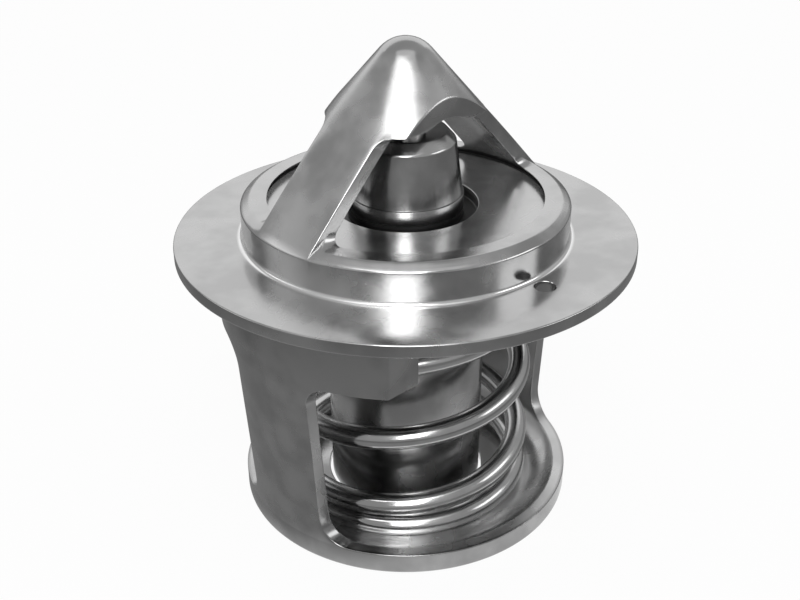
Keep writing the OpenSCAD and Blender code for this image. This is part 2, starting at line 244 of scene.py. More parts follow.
def outer_radius(z):
    return KNEE_R + (KNEE_Z - z) * OUT_SLOPE if z < KNEE_Z else (APEX_Z - z) * CAP_SLOPE


def inner_radius(z):
    return SEAT_R - (z - RING_TOP) * ARM_SLOPE if z < KNEE_IN_Z else (APEX_IN_Z - z) * CAP_SLOPE


def shoulder_radius(z):
    return SHOULDER_R - (z - RING_TOP) * FALL


def on_surface(radius, y, z):
    return (math.sqrt(max(radius(z) ** 2 - y * y, 0)), y, z)


# Faces along the ring's top, an arm's foot and the cap's side, and where those begin
FLOOR_STEPS = 44
FOOT_STEPS = 8
SIDE_STEPS = 16
FOOT_Y = ARM_HALF + WINDOW_LOW_R
HEAD_Y = ARM_HALF + WINDOW_TOP_R
FOOT_TOP = RING_TOP + WINDOW_LOW_R


def foot_outline():
    """Corner between the window's floor and the arm's side: (y, z, inward y, inward z)."""
    cross = math.acos(WINDOW_LOW_R / (WINDOW_LOW_R + EDGE))
    return [(FOOT_Y - WINDOW_LOW_R * math.sin(t), RING_TOP + WINDOW_LOW_R * (1 - math.cos(t)),
             -math.sin(t), -math.cos(t))
            for t in [cross / 2] + steps(cross, math.pi / 2, FOOT_STEPS - 2)]


def arm_outline():
    """The arm's side above its foot, the window's top corner and the cap's underside and corner."""
    out = [(ARM_HALF, z, -1, 0) for z in steps(FOOT_TOP, CAP_Z - WINDOW_TOP_R, 14)]
    for t in steps(0, math.pi / 2, 8)[1:]:
        out.append((HEAD_Y - WINDOW_TOP_R * math.cos(t), CAP_Z - WINDOW_TOP_R * (1 - math.sin(t)),
                    -math.cos(t), math.sin(t)))
    turn = len(out) - 5
    for y in steps(HEAD_Y, CAP_HALF - CUT_EDGE, 3)[1:]:
        out.append((y, CAP_Z, 0, 1))
    for t in steps(0, math.pi / 2, 3)[1:]:
        out.append((CAP_HALF - CUT_EDGE * (1 - math.sin(t)), CAP_Z + CUT_EDGE * (1 - math.cos(t)),
                    -math.sin(t), math.cos(t)))
    return out, turn, len(out) - 1


def floor_edge(radius, sign, height=RING_TOP, foot_y=FOOT_Y):
    """Edge of a ring's flat top from the plane x = 0 to the foot of an arm or a leg.

    It gives the sharp corner's points, and the points where its rounding meets the skin and the cut face;
    sign is 1 on the outer edge and -1 on the inner one."""
    sharp, skin, cut = [], [], []
    r_edge, r_skin = radius(height), radius(height - EDGE)
    for k in range(FLOOR_STEPS + 1):
        t = k / FLOOR_STEPS
        a = math.pi / 2 + (math.asin(foot_y / r_edge) - math.pi / 2) * t
        b = math.pi / 2 + (math.asin(foot_y / r_skin) - math.pi / 2) * t
        p = polar(r_edge, a, height)
        w = max(0, (k - FLOOR_STEPS + 8) / 8)
        way = Vector(mix((math.cos(a), math.sin(a)), (1, 0), w * w * (3 - 2 * w))).normalized()
        sharp.append(p)
        skin.append(polar(r_skin, b, height - EDGE))
        cut.append((p[0] - sign * way.x * CUT_EDGE, p[1] - sign * way.y * CUT_EDGE, height))
    return sharp, skin, cut


def side_edge(radius, sign, outline, share):
    """Edge along an outline of (y, z, inward y, inward z).

    share gives each point's part of the full rounding."""
    sharp, skin, cut = [], [], []
    for k, (y, z, ny, nz) in enumerate(outline):
        s = share(k)
        p = on_surface(radius, y, z)
        sharp.append(p)
        skin.append(on_surface(radius, y + EDGE * ny * s, z + EDGE * nz * s))
        cut.append((p[0] - sign * CUT_EDGE * s, y, z))
    return sharp, skin, cut


def arm_edge(radius, slope_z, sign, foot):
    """Edge of the arm, the cap's underside and the cap's flat side, after the points of its foot."""
    outline, turn, corner = arm_outline()
    shares = [s for *_, s in foot] + [1] * len(outline)
    sharp, skin, cut = side_edge(radius, sign, [place[:4] for place in foot] + outline, lambda k: shares[k])
    y, z = outline[-1][:2]
    first = math.asin(y / radius(z))
    first_skin = math.asin((y - EDGE) / radius(z))
    for k in range(1, SIDE_STEPS + 1):
        t = k / SIDE_STEPS
        a = first + (math.pi / 2 - first) * t
        b = first_skin + (math.pi / 2 - first_skin) * t
        r, s = y / math.sin(a), (y - EDGE) / math.sin(b)
        p = polar(r, a, slope_z(r))
        sharp.append(p)
        skin.append(polar(s, b, slope_z(s)))
        cut.append((p[0] - sign * CUT_EDGE * math.cos(t * math.pi / 2), y,
                    p[2] - sign * CUT_EDGE * math.sin(t * math.pi / 2)))
    return sharp, skin, cut, len(foot) + turn, len(foot) + corner


def round_edge(edge, k):
    """Points over a rounded edge at its point k, from the skin to the cut face."""
    sharp, skin, cut = edge[:3]
    return bent(skin[k], sharp[k], cut[k])


def cut_row(outer, inner, k):
    """Points across the sheet's thickness at point k, over both of its rounded edges."""
    return round_edge(outer, k) + round_edge(inner, k)[::-1]


def to_axis(p, count=10):
    """A row of points at one height from p round to the plane y = 0."""
    a, r = azimuth(p), math.hypot(p[0], p[1])
    return [polar(r, a * (1 - m / count), p[2]) for m in range(count + 1)]


def fan_rows(first, edge):
    """Rows above a first one, each reaching as far round as its edge point."""
    whole = azimuth(first[0])
    share = [azimuth(p) / whole for p in first]
    return [[polar(math.hypot(p[0], p[1]), azimuth(p) * s, p[2]) for s in share] for p in edge], share


def bridge_skin(quilt, skin, turn, corner, count, nose_r):
    """Arm, cap and nose of one skin in one quarter; gives back the arm's lowest row."""
    arm = [to_axis(p, count) for p in skin[:turn + 1]]
    quilt.sheet(arm)
    first = list(reversed(skin[turn + 1:corner + 1])) + arm[-1]
    rows, share = fan_rows(first, skin[corner + 1:])
    quilt.sheet([first] + rows)
    top = skin[-1]
    r_end, z_end = math.hypot(top[0], top[1]), top[2]
    r_nose, z_nose = nose_r * math.cos(NOSE_ANGLE), NOSE_CZ + nose_r * math.sin(NOSE_ANGLE)
    path = [mix((r_end, z_end), (r_nose, z_nose), t) for t in steps(0, 1, 6)]
    path += [(nose_r * math.cos(e), NOSE_CZ + nose_r * math.sin(e))
             for e in steps(NOSE_ANGLE, math.pi / 2, 7)[1:]]
    quilt.sheet([[polar(r, math.pi / 2 * s, z) for s in share] for r, z in path])
    return arm[0]


def arc(centre_r, centre_z, bend_r, start, end, count):
    """Points of a bend in an outline, between two angles in degrees."""
    return [(centre_r + bend_r * math.cos(math.radians(a)), centre_z + bend_r * math.sin(math.radians(a)))
            for a in steps(start, end, count)]


# Rings of faces on the flange: those round the bleed hole, how many faces it spans, and one farther out
HOLE_RINGS = [19.64, 20.07, 20.5, 20.94, 21.4, 21.85, 22.3]
HOLE_SPAN = 4
FLANGE_MID = 24.5


def hole_patch(quilt, rows, below):
    """Closes the square left round the bleed hole with rings of faces down to the hole's edge."""
    inner = [rows[0][k] for k in range(HOLE_SPAN + 1)]
    side = [row[HOLE_SPAN] for row in rows[1:-1]]
    outer = [rows[-1][k] for k in range(HOLE_SPAN, -1, -1)]
    border = inner + side + outer
    lift = BLEED_ROUND if below else -BLEED_ROUND
    z = rows[0][0][2]
    turn = steps(-math.pi / 2, math.pi / 2, len(border) - 1)
    rim_r = BLEED_R + BLEED_ROUND
    rim = [(rim_r * math.cos(a), BLEED_Y + rim_r * math.sin(a), z) for a in turn]
    wall = [(BLEED_R * math.cos(a), BLEED_Y + BLEED_R * math.sin(a), z + lift) for a in turn]
    quilt.sheet([border, [mix(p, q, 0.5) for p, q in zip(border, rim)], rim, wall])
    return wall


# The rounding between the shoulder and the ring's wall: where it starts and one point on it
NEAR_R, CORNER_MID = RING_R - CORNER_ROUND, (RING_R - 0.035, CORNER_Z - 0.045)


def outside_edges():
    """Edges of the floor and the foot on the shoulder, then of the arm from above the ring's corner."""
    fade = FOOT_STEPS - 1
    floor = floor_edge(shoulder_radius, 1)
    foot = side_edge(shoulder_radius, 1, foot_outline(), lambda k: min(1, (fade - k) / 4))
    heights = (KNEE_Z - (NEAR_R - KNEE_R) / OUT_SLOPE, RING_TOP + 0.08, RING_TOP + 0.68)
    arm_foot = [(ARM_HALF, z, -1, 0, share) for z, share in zip(heights, (0.35, 1, 1))]
    return floor, foot, arm_edge(outer_radius, lambda r: APEX_Z - r / CAP_SLOPE, 1, arm_foot)


def inside_edges():
    """Edges of the one cone that the seat ring and the arm share."""
    floor = floor_edge(inner_radius, -1)
    foot = side_edge(inner_radius, -1, foot_outline(), lambda k: 1)
    return floor, foot, arm_edge(inner_radius, lambda r: APEX_IN_Z - r / CAP_SLOPE, -1, [])


def shoulder_rows(floor, foot):
    """Rows of the sloped shoulder down to its corner, and how far round each point of the last row is."""
    top_row = floor[1] + foot[1]
    low_y = [p[1] / math.hypot(p[0], p[1]) * NEAR_R for p in floor[1]]
    last_y = low_y[-1]
    low_y += [last_y + (ARM_HALF - last_y) * (k + 1) / FOOT_STEPS for k in range(FOOT_STEPS)]
    rows = []
    for t in steps(0, 1, 3):
        row = []
        for p, y_low in zip(top_row, low_y):
            r_top = math.hypot(p[0], p[1])
            r = r_top + (NEAR_R - r_top) * t
            y = p[1] + (y_low - p[1]) * t
            row.append((math.sqrt(max(r * r - y * y, 0)), y, RING_TOP - (r - SHOULDER_R) / FALL))
        rows.append(row)
    return rows, [math.asin(min(y / NEAR_R, 1)) for y in low_y]


def window_cuts(quilt, outside, inside, tip, shoulder):
    """Cut faces: floor and foot, the wedge of the arm's side above the shoulder, then the arm's side."""
    out_floor, out_foot, out_arm = outside
    in_floor, in_foot, in_arm = inside
    for outer, inner in ((out_floor, in_floor), (out_foot, in_foot)):
        quilt.sheet([cut_row(outer, inner, k) for k in range(len(outer[0]))])
    quilt.sheet([cut_row(out_floor, in_floor, -1), cut_row(out_foot, in_foot, 0)])
    wedge_low = [tip] + [row[-1] for row in reversed(shoulder)]
    wedge_high = [tip] + out_arm[2][:4]
    quilt.sheet([wedge_low, wedge_high])
    quilt.sheet([[tip] * 4] + [round_edge(out_arm, k) for k in range(4)])
    foot_end = out_foot[0][-1]
    x_out, x_in = out_arm[2][3][0], in_arm[2][0][0]
    middle = (foot_end[0] - x_in) / (x_out - x_in)
    strip = []
    for k in range(len(in_arm[0])):
        outer, inner = round_edge(out_arm, k + 3), round_edge(in_arm, k)[::-1]
        strip.append(outer + [mix(inner[0], outer[-1], middle)] + inner)
    quilt.sheet(strip)


def ring_outline():
    """Outline from the ring's corner down its wall, round the flange and up inside the ring to the seat.

    It also gives the places in it where the flange's top and its lower face begin."""
    path = [(RING_R, CORNER_Z - CORNER_ROUND), (RING_R, TOP_Z + 2.2)]
    path += arc(RING_R + BEND_R, TOP_Z + BEND_R, BEND_R, 180, 270, 6)
    top_first = len(path)
    path += [(r, TOP_Z) for r in HOLE_RINGS[1:] + [FLANGE_MID]]
    path += bent((FLANGE_R - RIM_ROUND, TOP_Z), (FLANGE_R, TOP_Z), (FLANGE_R, TOP_Z - RIM_ROUND), 4)
    path += bent((FLANGE_R, FLANGE_Z + RIM_ROUND), (FLANGE_R, FLANGE_Z), (FLANGE_R - RIM_ROUND, FLANGE_Z), 4)
    low_first = len(path)
    path += [(r, FLANGE_Z) for r in [FLANGE_MID] + HOLE_RINGS[::-1]]
    bend = SHEET + BEND_R
    path += arc(RING_BORE + bend, FLANGE_Z + bend, bend, 270, 180, 8)[1:]
    path += [(RING_BORE, SEAT_LOW - 0.3), (RING_BORE, SEAT_LOW)]
    path += [mix((RING_BORE, SEAT_LOW), (SEAT_R, RING_TOP), 0.55)]
    return path, top_first, low_first


def frame_quarter(with_hole):
    quilt = Quilt()
    outside, inside = outside_edges(), inside_edges()
    out_arm, in_foot, in_arm = outside[2], inside[1], inside[2]
    corner_r, corner_z = CORNER_MID
    tip = (math.sqrt(corner_r ** 2 - ARM_HALF ** 2), ARM_HALF, corner_z)

    # Outer and inner skin of the arm, the cap and the nose
    arm_count = 10
    shift = FOOT_STEPS - 2
    arm_row = bridge_skin(quilt, out_arm[1], out_arm[3], out_arm[4], arm_count, NOSE_R)
    tip_row = to_axis(tip, arm_count)
    quilt.sheet([tip_row, arm_row])
    inner_skin = in_foot[1][1:] + in_arm[1][1:]
    inner_arm = bridge_skin(quilt, inner_skin, in_arm[3] + shift, in_arm[4] + shift,
                            arm_count + shift, DOME_R)
    inner_row = inside[0][1] + in_foot[1][:2] + inner_arm[1:]

    # Shoulder and cut faces
    shoulder, az_low = shoulder_rows(*outside[:2])
    az_low[-1] = azimuth(tip)
    corner_row = [polar(corner_r, a, corner_z) for a in az_low]
    quilt.sheet(shoulder + [corner_row])
    window_cuts(quilt, outside, inside, tip, shoulder)

    # Ring and flange
    az_out = az_low[:-1] + [azimuth(p) for p in tip_row]
    az_in = [azimuth(p) for p in inner_row]
    path, top_first, low_first = ring_outline()
    rows = [corner_row[:-1] + tip_row]
    for k, (r, z) in enumerate(path):
        t = min(max((k - low_first + 1) / 9, 0), 1)
        rows.append([polar(r, a + (b - a) * t, z) for a, b in zip(az_out, az_in)])
    rows.append(inner_row)
    top_block = range(top_first, top_first + len(HOLE_RINGS) - 1)
    low_block = range(low_first + 2, low_first + 2 + len(HOLE_RINGS) - 1)

    def hole(i, k):
        return with_hole and k < HOLE_SPAN and (i in top_block or i in low_block)

    quilt.sheet(rows, hole)
    if with_hole:
        above = [rows[i] for i in range(top_block[0], top_block[-1] + 2)]
        under = [rows[i] for i in range(low_block[-1] + 1, low_block[0] - 1, -1)]
        top, low = hole_patch(quilt, above, below=False), hole_patch(quilt, under, below=True)
        quilt.sheet([top, low])
    return quilt


def make_upper_frame():
    plain, holed = frame_quarter(False), frame_quarter(True)
    quilt = Quilt().add(plain, plain.copy(-1, 1), holed.copy(1, -1), holed.copy(-1, -1))
    return sew("upper_frame_dressed", quilt)


# Lower cage

def cage_outer(z):
    if z < BASE_H:
        return CAGE_R
    return CAGE_R + (z - BASE_H) * CAGE_TAPER if z < COLLAR_Z else COLLAR_R


def cage_inner(z):
    return CAGE_R - CAGE_T + (z - BASE_H) * (COLLAR_R - SLANT_T - CAGE_R + CAGE_T) / (COLLAR_Z - BASE_H)


def cage_outline():
    """Window outline of the cage: (y, z, inward y, inward z) from the leg's foot to the collar's end."""
    foot_y, head_y = LEG_HALF + LEG_LOW_R, LEG_HALF + LEG_TOP_R
    cross = math.acos(LEG_LOW_R / (LEG_LOW_R + EDGE))
    out = []
    for t in [cross / 2] + steps(cross, math.pi / 2, 12):
        out.append((foot_y - LEG_LOW_R * math.sin(t), BASE_H + LEG_LOW_R * (1 - math.cos(t)),
                    -math.sin(t), -math.cos(t)))
    crossing = 1
    for z in steps(BASE_H + LEG_LOW_R, COLLAR_Z - LEG_TOP_R, 16)[1:]:
        out.append((LEG_HALF, z, -1, 0))
    for t in steps(0, math.pi / 2, 12)[1:]:
        out.append((head_y - LEG_TOP_R * math.cos(t), COLLAR_Z - LEG_TOP_R * (1 - math.sin(t)),
                    -math.cos(t), math.sin(t)))
        if abs(t - math.pi / 4) < 0.01:
            turn = len(out) - 1
    head = len(out) - 1
    for y in steps(head_y, COLLAR_HALF - CUT_EDGE, 10)[1:]:
        out.append((y, COLLAR_Z, 0, 1))
    for t in steps(0, math.pi / 2, 3)[1:]:
        out.append((COLLAR_HALF - CUT_EDGE * (1 - math.sin(t)), COLLAR_Z + CUT_EDGE * (1 - math.cos(t)),
                    -math.sin(t), math.cos(t)))
    corner = len(out) - 1
    for z in steps(COLLAR_Z + CUT_EDGE, FLANGE_Z, 6)[1:]:
        out.append((COLLAR_HALF, z, -1, 0))
    return out, crossing, turn, head, corner


def cage_chain(radius, sign, outline, share):
    """Edge of the bottom ring's top and of the window's side in one chain."""
    ring = floor_edge(radius, sign, BASE_H, LEG_HALF + LEG_LOW_R)
    leg = side_edge(radius, sign, outline, share)
    return [a + b for a, b in zip(ring, leg)]


def dish_or_leg(z):
    if z >= BASE_H:
        return cage_inner(z)
    return DISH_CENTRE + math.sqrt(DISH_R ** 2 - (FLOOR_T + DISH_R - z) ** 2)


LEDGE_R, COLLAR_BORE = COLLAR_R - SLANT_T, COLLAR_R - COLLAR_T


def leg_outside(quilt, skin, crossing, turn, corner):
    """Outside of the leg and the collar; gives back its lowest and its top row."""
    leg = [to_axis(p) for p in skin[crossing:turn + 1]]
    quilt.sheet(leg)
    first = skin[turn + 1:corner + 1][::-1] + leg[-1]
    rows = fan_rows(first, skin[corner + 1:])[0]
    quilt.sheet([first] + rows)
    return leg[0], rows[-1]


def leg_inside(quilt, skin, crossing, turn, head):
    """Inside of the leg and the ledge under the collar; gives back the lowest row and the collar's."""
    leg = [to_axis(p) for p in skin[crossing:turn + 1]]
    quilt.sheet(leg)
    first = skin[turn + 1:head + 1][::-1] + leg[-1]
    whole = azimuth(first[0])
    share = [azimuth(p) / whole for p in first]
    ledge = [polar(LEDGE_R, whole * s, COLLAR_Z) for s in share]
    bore_whole = math.asin((LEG_HALF + LEG_TOP_R) / COLLAR_BORE)
    bore_row = [polar(COLLAR_BORE, bore_whole * s, COLLAR_Z) for s in share]
    quilt.sheet([first, ledge, bore_row])
    return leg[0], bore_row


def collar_wing(quilt, out, places, head, corner, outer_top, bore_row):
    """Underside of the collar's wing, its end face, its bore and its top."""
    wing, wing_bore = [], []
    for k, (y, z, *_) in enumerate(places, head):
        mid = (math.sqrt(LEDGE_R ** 2 - y * y), y, z)
        low = (math.sqrt(COLLAR_BORE ** 2 - y * y), y, z)
        wing.append(round_edge(out, k) + [mid, low])
        wing_bore.append(low)
    quilt.sheet(wing)
    turn = corner - head + 1
    first = wing_bore[1:turn][::-1] + bore_row
    rows = fan_rows(first, wing_bore[turn:])[0]
    quilt.sheet([first] + rows)
    quilt.sheet([outer_top, rows[-1]])
    end_face = wing[-1]
    quilt.faces.append((outer_top[0], end_face[1], end_face[2], end_face[3]))
    quilt.faces.append((outer_top[0], end_face[3], end_face[4], end_face[5]))


# Rings of faces on the bottom ring's wall, under the floor and on it
WALL_MID, LOWER_RINGS, UPPER_RING = 1.7, (17.5, 14), 13


def cage_base(quilt, outer_row, inner_row):
    """Bottom ring's wall, the underside, the floor's hole, the floor and the dish."""
    path = [(CAGE_R, WALL_MID)]
    path += arc(CAGE_R - CAGE_EDGE, CAGE_EDGE, CAGE_EDGE, 0, -90, 6)
    flat = len(path)
    path += [(r, 0) for r in LOWER_RINGS]
    hole_edge = FLOOR_HOLE + HOLE_ROUND
    path += bent((hole_edge, 0), (FLOOR_HOLE, 0), (FLOOR_HOLE, HOLE_ROUND))
    path += bent((FLOOR_HOLE, FLOOR_T - HOLE_ROUND), (FLOOR_HOLE, FLOOR_T), (hole_edge, FLOOR_T))
    path += [(UPPER_RING, FLOOR_T)]
    end = math.degrees(math.acos(DISH_RUN / DISH_R))
    path += arc(DISH_CENTRE, FLOOR_T + DISH_R, DISH_R, 270, 360 - end - 4, 10)
    az_out = [azimuth(p) for p in outer_row]
    az_in = [azimuth(p) for p in inner_row]
    rows = [outer_row]
    for k, (r, z) in enumerate(path):
        t = min(max((k - flat + 1) / 3, 0), 1)
        rows.append([polar(r, a + (b - a) * t, z) for a, b in zip(az_out, az_in)])
    quilt.sheet(rows + [inner_row])


def cage_quarter():
    quilt = Quilt()
    outline, crossing, turn, head, corner = cage_outline()
    fade = head - turn
    out = cage_chain(cage_outer, 1, outline, lambda k: 1)
    into = cage_chain(dish_or_leg, -1, outline[:head + 1], lambda k: min(1, max(0, (head - k) / fade)))
    places = outline[head:]
    base = FLOOR_STEPS + 1
    crossing, turn, head, corner = (base + k for k in (crossing, turn, head, corner))
    low_out, outer_top = leg_outside(quilt, out[1], crossing, turn, corner)
    low_in, bore_row = leg_inside(quilt, into[1], crossing, turn, head)
    quilt.sheet([cut_row(out, into, k) for k in range(head + 1)])
    collar_wing(quilt, out, places, head, corner, outer_top, bore_row)
    cage_base(quilt, out[1][:crossing] + low_out, into[1][:crossing] + low_in)
    return quilt


def make_lower_cage():
    quarter = cage_quarter()
    quilt = Quilt().add(quarter, quarter.copy(-1, 1), quarter.copy(1, -1), quarter.copy(-1, -1))
    return sew("lower_cage_dressed", quilt)


# Valve

def make_valve_disc():
    return lathe("valve_disc_dressed", [
        (NECK_R + NECK_GAP, HUB_Z, 0), (MOAT_R, HUB_Z, 0.15), (MOAT_R, DISH_Z, 0.12),
        (CROWN_R, RIM_Z, 0.06), (CROWN_R, DISC_LOW, 0), (RECESS_R, DISC_LOW, 0.1),
        (RECESS_R, ELEMENT_TOP, 0.1), (NECK_R + NECK_GAP, ELEMENT_TOP, 0)])


def make_valve_seal():
    return lathe("valve_seal_dressed", [
        (CROWN_R, DISC_LOW, 0), (SEAL_R - 0.3, DISC_LOW, 0.1), (SEAL_R, DISC_LOW + 0.3, 0.1),
        (SEAL_R, FLANK_Z, 0.15), (RIM_R, RIM_Z, 0.08), (CROWN_R, RIM_Z, 0)])


def make_disc_retainer():
    return lathe("disc_retainer_dressed", [
        (NECK_R + NECK_GAP, HUB_Z, 0), (RETAINER_R, HUB_Z, 0.3), (RETAINER_R, RETAINER_Z, 0.06),
        (NECK_R + NECK_GAP, RETAINER_Z, 0)])


def make_guide_cap():
    return lathe("guide_cap_dressed", [
        (PISTON_BORE, CAP_TOP_Z, 0.1), (CAP_TOP_R, CAP_TOP_Z, 0.3),
        (CAP_MID_R, CAP_TOP_Z - CAP_CHAMFER, 0.5), (CAP_LOW_R, RETAINER_Z + STACK_GAP, 0.12),
        (NECK_R + NECK_GAP, RETAINER_Z + STACK_GAP, 0),
        (NECK_R + NECK_GAP, STEM_TOP + WIPER_H, 0), (PISTON_BORE, STEM_TOP + WIPER_H, 0)], parts=5)


def make_guide_stem():
    return lathe("guide_stem_dressed", [
        (PISTON_BORE, STEM_TOP, 0), (NECK_R, STEM_TOP, 0.1), (NECK_R, ELEMENT_TOP, 0),
        (LIP_R - MOUTH_GAP, ELEMENT_TOP, 0.1), (LIP_R - MOUTH_GAP, ELEMENT_TOP - LIP_T, 0),
        (CUP_BORE - MOUTH_GAP, ELEMENT_TOP - LIP_T, 0), (CUP_BORE - MOUTH_GAP, STEM_LOW, 0.1),
        (WASHER_R, STEM_LOW, 0), (WASHER_R, STEM_LOW + WASHER_T, 0), (PISTON_BORE, STEM_LOW + WASHER_T, 0)])


def make_element_cup():
    wax_r, wax_low = CUP_BORE - CUP_STEP, ELEMENT_Z + ELEMENT_T
    return lathe("element_cup_dressed", [
        (0, ELEMENT_Z, 0), (ELEMENT_R, ELEMENT_Z, ELEMENT_EDGE), (ELEMENT_R, ELEMENT_TOP, 0.35),
        (LIP_R, ELEMENT_TOP, 0.12), (LIP_R, ELEMENT_TOP - LIP_T, 0), (CUP_BORE, ELEMENT_TOP - LIP_T, 0),
        (CUP_BORE, BOOT_TOP, 0), (wax_r, BOOT_TOP, 0), (wax_r, wax_low, 0), (0, wax_low, 0)],
        closed=False, parts=8)


def make_piston():
    path = [(0, PISTON_LOW, 0), (PISTON_R, PISTON_LOW, 0.3), (PISTON_R, PISTON_TOP - PISTON_R, 0)]
    path += [(PISTON_R * math.cos(a), PISTON_TOP - PISTON_R + PISTON_R * math.sin(a), 0)
             for a in steps(0, math.pi / 2, 12)[1:]]
    return lathe("piston_dressed", path, closed=False, segments=96)


# Node trees

class Wire:
    """A node's output that Python's arithmetic works on; each operation adds a Math node."""

    def __init__(self, graph, socket):
        self.graph, self.socket = graph, socket

    def part(self, which):
        """Another output of the same node."""
        return Wire(self.graph, self.socket.node.outputs[which])

    def math(self, operation, other=None, first=False):
        sides = [self] if other is None else ([other, self] if first else [self, other])
        return self.graph.node("ShaderNodeMath", {"operation": operation}, dict(enumerate(sides)))

    def __add__(self, other):
        return self.math("ADD", other)

    __radd__ = __add__

    def __sub__(self, other):
        return self.math("SUBTRACT", other)

    def __rsub__(self, other):
        return self.math("SUBTRACT", other, True)

    def __mul__(self, other):
        return self.math("MULTIPLY", other)

    __rmul__ = __mul__

    def __truediv__(self, other):
        return self.math("DIVIDE", other)


class Graph:
    """Adds nodes to one tree, each from its type, its settings and its sockets' values or links."""

    def __init__(self, tree):
        self.tree = tree

    def node(self, kind, settings=None, sockets=None, out=0):
        made = self.tree.nodes.new(kind)
        for key, value in (settings or {}).items():
            if key == "stops":
                ramp = made.color_ramp.elements
                while len(ramp) > 1:
                    ramp.remove(ramp[0])
                for k, (place, shade) in enumerate(value):
                    stop = ramp[0] if k == 0 else ramp.new(place)
                    stop.position, stop.color = place, (shade, shade, shade, 1)
            else:
                setattr(made, key, value)
        for key, value in (sockets or {}).items():
            if isinstance(value, Wire):
                self.tree.links.new(value.socket, made.inputs[key])
            else:
                made.inputs[key].default_value = value
        return Wire(self, made.outputs[out]) if len(made.outputs) else None

    def shade(self, share, none, full):
        """A colour that goes from one to another by a share from 0 to 1."""
        return self.node("ShaderNodeMix", {"data_type": "RGBA"}, {0: share, 6: none, 7: full}, out=2)


def grey(value):
    return (value, value, value, 1)


def surface(name):
    material = bpy.data.materials.new(name)
    material.use_nodes = True
    material.node_tree.nodes.clear()
    return material, Graph(material.node_tree)


# Materials

TOOL_RING, ZONE_FADE = 0.22 * MM, 0.15


def steel(name, light, dark, smooth, coarse, rings=0.0, zone=None):
    """Worked steel: soft clouds of handling, faint tool rings where turned, and one zone of painted light or
    shade.

    The zone is given by its outer radius, the heights between which it fades out, all in millimetres,
    its shade and what it adds to the roughness: painted shade in a groove, painted light on a floor, a
    painted highlight on a bend."""
    material, g = surface(name)
    place = g.node("ShaderNodeTexCoord", out="Object")
    cloud = g.node("ShaderNodeTexNoise", {"noise_dimensions": "3D"},
                   {"Vector": place, "Scale": 85.0, "Detail": 2.0, "Roughness": 0.5, "Distortion": 0.6})
    smudge = g.node("ShaderNodeTexNoise", {"noise_dimensions": "3D"},
                    {"Vector": place, "Scale": 300.0, "Detail": 2.0, "Roughness": 0.5})
    mottled = g.node("ShaderNodeMapRange", {"interpolation_type": "SMOOTHSTEP"}, {
        "Value": cloud * 0.65 + smudge * 0.35, "From Min": 0.36, "From Max": 0.64,
        "To Min": 0.0, "To Max": 1.0})
    tone = g.shade(mottled, grey(dark), grey(light))
    finish = mottled * (coarse - smooth) + smooth
    high = g.node("ShaderNodeSeparateXYZ", {}, {0: place}, out="Z")
    if zone:
        radius, low, top, shade, rougher = zone
        flat = g.node("ShaderNodeVectorMath", {"operation": "MULTIPLY"}, {0: place, 1: (1, 1, 0)})
        away = g.node("ShaderNodeVectorMath", {"operation": "LENGTH"}, {0: flat}, out="Value")
        inside = g.node("ShaderNodeMapRange", {}, {
            "Value": away, "From Min": (radius - ZONE_FADE) * MM, "From Max": (radius + ZONE_FADE) * MM,
            "To Min": 1.0, "To Max": 0.0})
        deep = g.node("ShaderNodeMapRange", {}, {
            "Value": high, "From Min": low * MM, "From Max": top * MM, "To Min": 1.0, "To Max": 0.0})
        within = inside * deep
        # Inside the zone the colour moves toward the zone's shade: light or shade painted into the colour
        tone = g.shade(within * 0.9, tone, grey(shade))
        finish = finish + within * rougher
    height = smudge + cloud
    if rings:
        height = height + (high * (2 * math.pi / TOOL_RING)).math("SINE") * rings
    bump = g.node("ShaderNodeBump", {}, {"Strength": 0.035, "Distance": 0.04 * MM, "Height": height})
    shader = g.node("ShaderNodeBsdfPrincipled", {}, {
        "Base Color": tone, "Metallic": 1.0, "Roughness": finish, "Normal": bump})
    g.node("ShaderNodeOutputMaterial", {}, {"Surface": shader})
    return material


def soft(name, light, dark, rough, scale):
    """Rubber, plastic or wax: matt, slightly uneven in shade and skin."""
    material, g = surface(name)
    place = g.node("ShaderNodeTexCoord", out="Object")
    patch = g.node("ShaderNodeTexNoise", {"noise_dimensions": "3D"},
                   {"Vector": place, "Scale": scale, "Detail": 4.0, "Roughness": 0.6})
    tone = g.shade(patch, dark, light)
    bump = g.node("ShaderNodeBump", {}, {"Strength": 0.25, "Distance": 0.05 * MM, "Height": patch})
    shader = g.node("ShaderNodeBsdfPrincipled", {}, {
        "Base Color": tone, "Roughness": patch * 0.2 + rough, "Normal": bump})
    g.node("ShaderNodeOutputMaterial", {}, {"Surface": shader})
    return material


# Main spring, by geometry nodes

